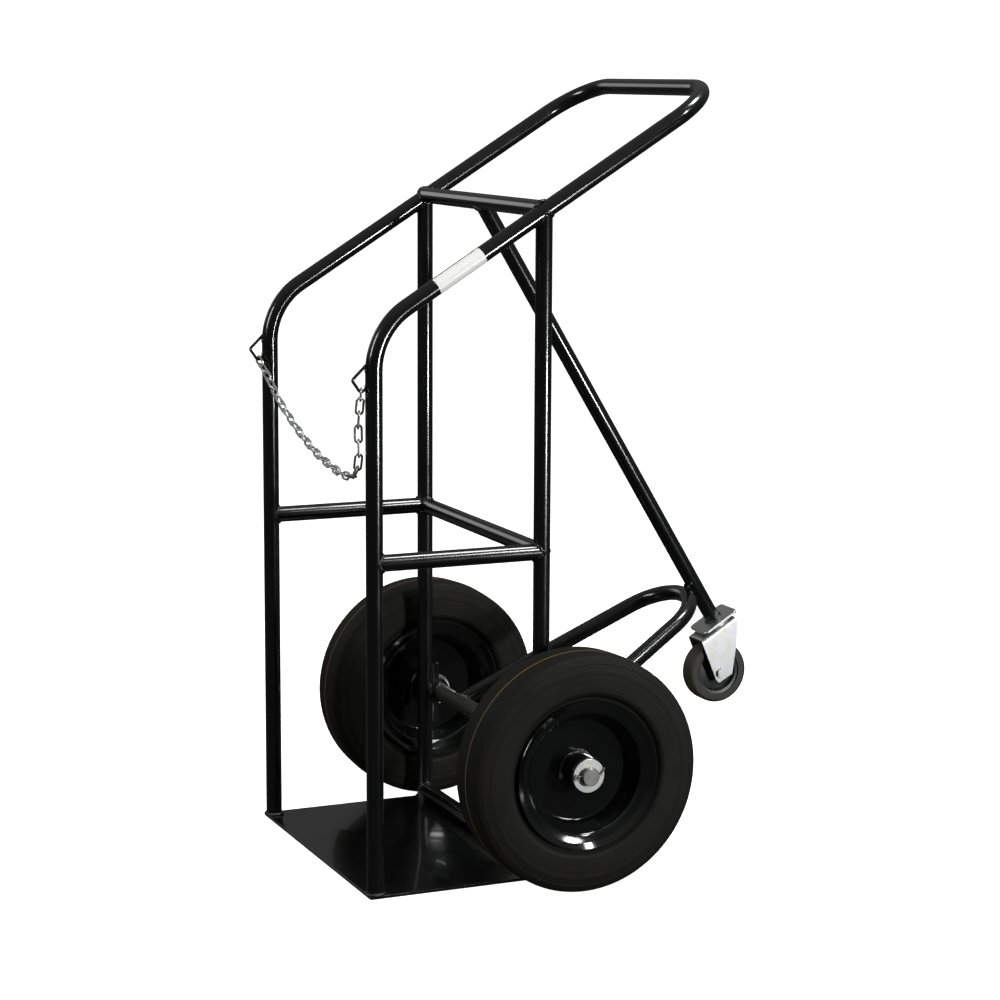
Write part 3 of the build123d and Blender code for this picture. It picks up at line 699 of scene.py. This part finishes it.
class CART_OT_base_plate(bpy.types.Operator):
    """Base plate with a sheared, lightly rounded edge."""

    bl_idname = "cart.base_plate"
    bl_label = "Base plate"

    def execute(self, context):
        edge = context.scene.cart_sizes.plate_edge
        low, high = (np.array(c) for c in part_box("base_plate"))
        corner = 0.003
        half = (high[:2] - low[:2]) / 2
        middle_xy = (high[:2] + low[:2]) / 2
        # The outline is a rectangle with round corners: each corner's arc, then the next.
        turn = np.linspace(0, np.pi / 2, 8)
        signs = [(1, 1), (-1, 1), (-1, -1), (1, -1)]
        arcs = []
        for k, (sx, sy) in enumerate(signs):
            a = turn + k * np.pi / 2
            centre = middle_xy + (half - corner) * np.array([sx, sy])
            arcs.append(np.stack([
                centre[0] + corner * np.cos(a), centre[1] + corner * np.sin(a), np.cos(a), np.sin(a)], -1))
        outline = np.vstack(arcs)
        # The section: (inset, height) from the underside's edge, round the rim, to the top's edge.
        bend = np.linspace(0, np.pi / 2, 6)
        inset = np.concatenate([edge - edge * np.sin(bend), edge - edge * np.cos(bend)])
        height = np.concatenate([low[2] + edge - edge * np.cos(bend), high[2] - edge + edge * np.sin(bend)])
        points = np.stack([
            outline[None, :, 0] - inset[:, None] * outline[None, :, 2],
            outline[None, :, 1] - inset[:, None] * outline[None, :, 3],
            np.broadcast_to(height[:, None], (len(height), len(outline))),
        ], -1)
        piece("steel_base_plate", [grid(points)], "frame", "frame_enamel", ["base_plate"], sharp=50)
        return {"FINISHED"}


class CART_OT_welds(bpy.types.Operator):
    """Weld beads round the tubes' joints, feet, brackets, collars and chain eyes."""

    bl_idname = "cart.welds"
    bl_label = "Weld beads"

    def execute(self, context):
        sizes = context.scene.cart_sizes
        thick, pitch = sizes.bead_radius, sizes.ripple_pitch
        r = TUBE_RADIUS
        up, back, across = np.array([0, 0, 1.0]), np.array([0, 1.0, 0]), np.array([1.0, 0, 0])
        beads = []
        seed = 10

        def seam(point, direction, main_point, main_axis, branch=r, main=r, size=thick):
            nonlocal seed
            seed += 1
            line, outward = saddle(point, direction, main_point, main_axis, branch, main)
            beads.append(bead(line, outward, size, pitch, seed))

        for side in (-1, 1):
            x = side * SIDE_X
            for y, toward in ((FRONT_Y, -1), (REAR_Y, 1)):
                seam((x, y, RAIL_Z), -toward * back, (x, y, RAIL_Z), up)
            for z in (RAIL_Z, FOOT_BAR_Z):
                seam((x, REAR_Y, z), -side * across, (x, REAR_Y, z), up)
            seam((x, REAR_Y, CROSSBAR_Z), -side * across, (x, REAR_Y, JUNCTION_Z), SLANT)
            seam((x, REAR_Y, JUNCTION_Z), -up, (x, REAR_Y, JUNCTION_Z), SLANT)
            for y in (FRONT_Y, REAR_Y):
                seed += 1
                line, outward = ring((x, y, PLATE_TOP + 0.001), up, r)
                beads.append(bead(line, outward, thick * 1.25, pitch, seed))
        seam(STRUT_TOP, STRUT_OUT, STRUT_TOP, across)
        seed += 1
        line, outward = ring(STRUT_END - STRUT_OUT * 0.0008, STRUT_UP, r)
        beads.append(bead(line, outward, thick, pitch, seed))

        path, square = loop_path(sizes)
        for end, beyond in ((0, 1), (-1, -2)):
            leg = unit(path[beyond] - path[end])
            seam(path[end], leg, (0, AXLE_Y, AXLE_Z), across, r, AXLE_RADIUS)
        crown = path[len(path) // 2]
        touch = (path[len(path) // 2 - 1] + crown) / 2
        touch = touch + np.array([0, -STRUT_OUT[2], STRUT_OUT[1]]) * TUBE_RADIUS
        reach = 0.011
        for side in (-1, 1):
            s = np.linspace(-reach, reach, 20)[:, None]
            seed += 1
            line = touch + across * side * 0.006 + STRUT_OUT * s
            outward = np.broadcast_to(across * side, line.shape)
            beads.append(bead(line, outward, thick * 0.95, pitch, seed, closed=False))
        piece("frame_weld_beads", [join(beads)], "frame", "frame_enamel")

        beads = []
        for side, name in ((-1, "left"), (1, "right")):
            low, high = (np.array(c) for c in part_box(f"axle_bracket_{name}"))
            half_sheet = (high[0] - low[0]) / 2
            x = side * SIDE_X
            for face in (-1, 1):
                depth = math.sqrt(r**2 - half_sheet**2)
                s = np.linspace(low[2] + 0.003, high[2] - 0.003, 60)
                seam_x = x + face * (half_sheet + 0.0004)
                line = np.stack([np.full_like(s, seam_x), np.full_like(s, REAR_Y + depth), s], -1)
                outward = np.broadcast_to(across * face, line.shape)
                seed += 1
                beads.append(bead(line, outward, thick * 0.9, pitch, seed, closed=False))
                seed += 1
                line, outward = ring((x + face * half_sheet, AXLE_Y, AXLE_Z), across, AXLE_RADIUS)
                beads.append(bead(line, outward, thick * 0.9, pitch, seed))
            low, high = (np.array(c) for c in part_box(f"axle_collar_{name}"))
            inner = low[0] if side > 0 else high[0]
            seed += 1
            line, outward = ring((inner, AXLE_Y, AXLE_Z), across, AXLE_RADIUS + 0.001)
            beads.append(bead(line, outward, thick * 0.8, pitch, seed))
            eye_low, eye_high = (np.array(c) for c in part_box(f"chain_eye_{name}"))
            rod = (eye_high[0] - eye_low[0]) / 2
            for z in (eye_high[2] - rod - 0.010, eye_low[2] + rod + 0.008):
                seam((x, FRONT_Y, z), -back, (x, FRONT_Y, z), up, rod, r, 0.0013)
        piece("axle_weld_beads", [join(beads)], "frame", "frame_enamel")
        return {"FINISHED"}


# ---------------------------------------------------------------------------
# Wheels
# ---------------------------------------------------------------------------
def tyre_outline():
    """Half of the tyre's section as (from the middle, radius): from the bead, over the side, to the crown."""
    side_radius, tread_half = 0.1570, 0.0370
    seat = [(0.0240, 0.1015), (0.0330, 0.1055), (0.0368, 0.1190), (0.0385, 0.1290)]
    side = rounded_profile(
        [(0.0385, 0.1290), (0.0447, 0.1345), (0.0466, 0.1395), (0.0470, side_radius)], [0.003, 0.004], 6)
    # The shoulder is a quarter of an ellipse, and the crown sags from the middle by a square law.
    t = np.linspace(0, np.pi / 2, 26)[1:]
    curve = np.column_stack([tread_half + 0.0100 * np.cos(t), side_radius + 0.0408 * np.sin(t)])
    crown_x = np.linspace(tread_half, 0.0, 26)[1:]
    sag, ridge_height = 0.0022, 0.0004
    crown = np.column_stack([crown_x, AXLE_Z - ridge_height - sag * (crown_x / tread_half) ** 2])
    return np.vstack([seat, side[1:], curve, crown])


class CART_OT_tyres(bpy.types.Operator):
    """Solid rubber tyres with a mould line, rim ring and fine rings on the sides."""

    bl_idname = "cart.tyres"
    bl_label = "Tyres"

    def execute(self, context):
        half = tyre_outline()
        x = np.concatenate([-half[:-1, 0], half[::-1, 0]])
        radius = np.concatenate([half[:-1, 1], half[::-1, 1]])
        # Fine rings stand on the side: narrow bumps at fixed radii, and a flash ridge on the crown.
        fine = np.linspace(0, 1, 5)[:, None]
        x = np.concatenate([(x[:-1] + (x[1:] - x[:-1]) * fine[:-1]).T.ravel(), x[-1:]])
        radius = np.concatenate([(radius[:-1] + (radius[1:] - radius[:-1]) * fine[:-1]).T.ravel(), radius[-1:]])
        ring_height, ring_width = 0.0006, 0.0009
        ring_radii = (0.1475, 0.1700, 0.1735, 0.1860)
        lift = sum(ring_height * np.exp(-(((radius - at) / ring_width) ** 2)) for at in ring_radii)
        lift = np.where(np.abs(x) > 0.030, lift, 0)
        for side, name in ((-1, "left"), (1, "right")):
            ridge = 0.0004 * np.exp(-(((x - FLASH_OFFSET) / 0.0008) ** 2)) * (radius > 0.19)
            profile = np.column_stack([x + np.sign(x) * lift, radius + ridge])
            surface = lathe(profile, (side * WHEEL_X, AXLE_Y, AXLE_Z), (side, 0, 0), sides=288)
            piece(f"solid_tyre_{name}", [surface], f"{name}_wheel", "tyre_rubber", [f"tyre_{name}"], sharp=35)
        return {"FINISHED"}


class CART_OT_rims(bpy.types.Operator):
    """Pressed rims of two dished halves, their hub tubes and the weld round each hub."""

    bl_idname = "cart.rims"
    bl_label = "Rims and hubs"

    def execute(self, context):
        half_gap = 0.00005  # the two discs stand this far each side of the wheel's middle
        corners = [(half_gap, 0.030), (half_gap, 0.086), (0.008, 0.092), (0.024, 0.099),
                   (0.034, 0.103), (0.038, 0.116), (0.044, 0.125)]
        bends = [0.005, 0.004, 0.004, 0.006, 0.004]
        sheet = 0.0025
        outline = sheet_profile(rounded_profile(corners, bends), sheet)
        sizes = context.scene.cart_sizes
        for side, name in ((-1, "left"), (1, "right")):
            centre = (side * WHEEL_X, AXLE_Y, AXLE_Z)
            for half, which in ((1, "outer"), (-1, "inner")):
                surface = lathe(outline, centre, (side * half, 0, 0))
                piece(f"pressed_rim_{which}_{name}", [surface], f"{name}_wheel", "rim_enamel",
                      [f"rim_{which}_{name}"], sharp=30)
            low, high = (np.array(c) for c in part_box(f"hub_{name}"))
            reach, outer = (high[0] - low[0]) / 2, (high[1] - low[1]) / 2
            bore, edge = 0.0232, 0.0008
            tube = rounded_profile(
                [(0, bore), (reach, bore), (reach, outer), (-reach, outer), (-reach, bore), (0, bore)],
                [edge, edge, edge, edge], 5)
            beads = []
            for face_side in (-1, 1):
                weld_x = side * WHEEL_X + face_side * (sheet + 0.0012)
                line, outward = ring((weld_x, AXLE_Y, AXLE_Z), (1, 0, 0), outer + 0.0008)
                beads.append(bead(line, outward, 0.0028, sizes.ripple_pitch, 300 + face_side + side * 10))
            barrel = lathe(tube[:-1], centre, (1, 0, 0), 96)
            piece(f"hub_tube_{name}", [barrel] + beads, f"{name}_wheel", "rim_enamel", [f"hub_{name}"])
        return {"FINISHED"}


class CART_PT_panel(bpy.types.Panel):
    """Lists the cart's sizes, colours and steps."""

    bl_idname = "CART_PT_panel"
    bl_label = "Cylinder cart"
    bl_space_type = "VIEW_3D"
    bl_region_type = "UI"
    bl_category = "Cart"

    def draw(self, context):
        for group in (context.scene.cart_sizes, context.scene.cart_colours):
            for key in group.__annotations__:
                self.layout.prop(group, key)
        for operator in OPERATORS:
            self.layout.operator(operator.bl_idname)


OPERATORS = (
    CART_OT_materials, CART_OT_stage, CART_OT_tubes, CART_OT_base_plate,
    CART_OT_welds, CART_OT_tyres, CART_OT_rims,
)
CLASSES = (CartSizes, CartColours, CART_PT_panel) + OPERATORS


def register():
    """Register the classes, and hang the property groups on the scene."""
    for cls in CLASSES:
        bpy.utils.register_class(cls)
    bpy.types.Scene.cart_sizes = bpy.props.PointerProperty(type=CartSizes)
    bpy.types.Scene.cart_colours = bpy.props.PointerProperty(type=CartColours)


def unregister():
    """Take them off again."""
    del bpy.types.Scene.cart_colours
    del bpy.types.Scene.cart_sizes
    for cls in reversed(CLASSES):
        bpy.utils.unregister_class(cls)


def main():
    register()
    for operator in OPERATORS:
        group, name = operator.bl_idname.split(".")
        getattr(getattr(bpy.ops, group), name)()
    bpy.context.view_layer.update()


if __name__ == "__main__":
    main()
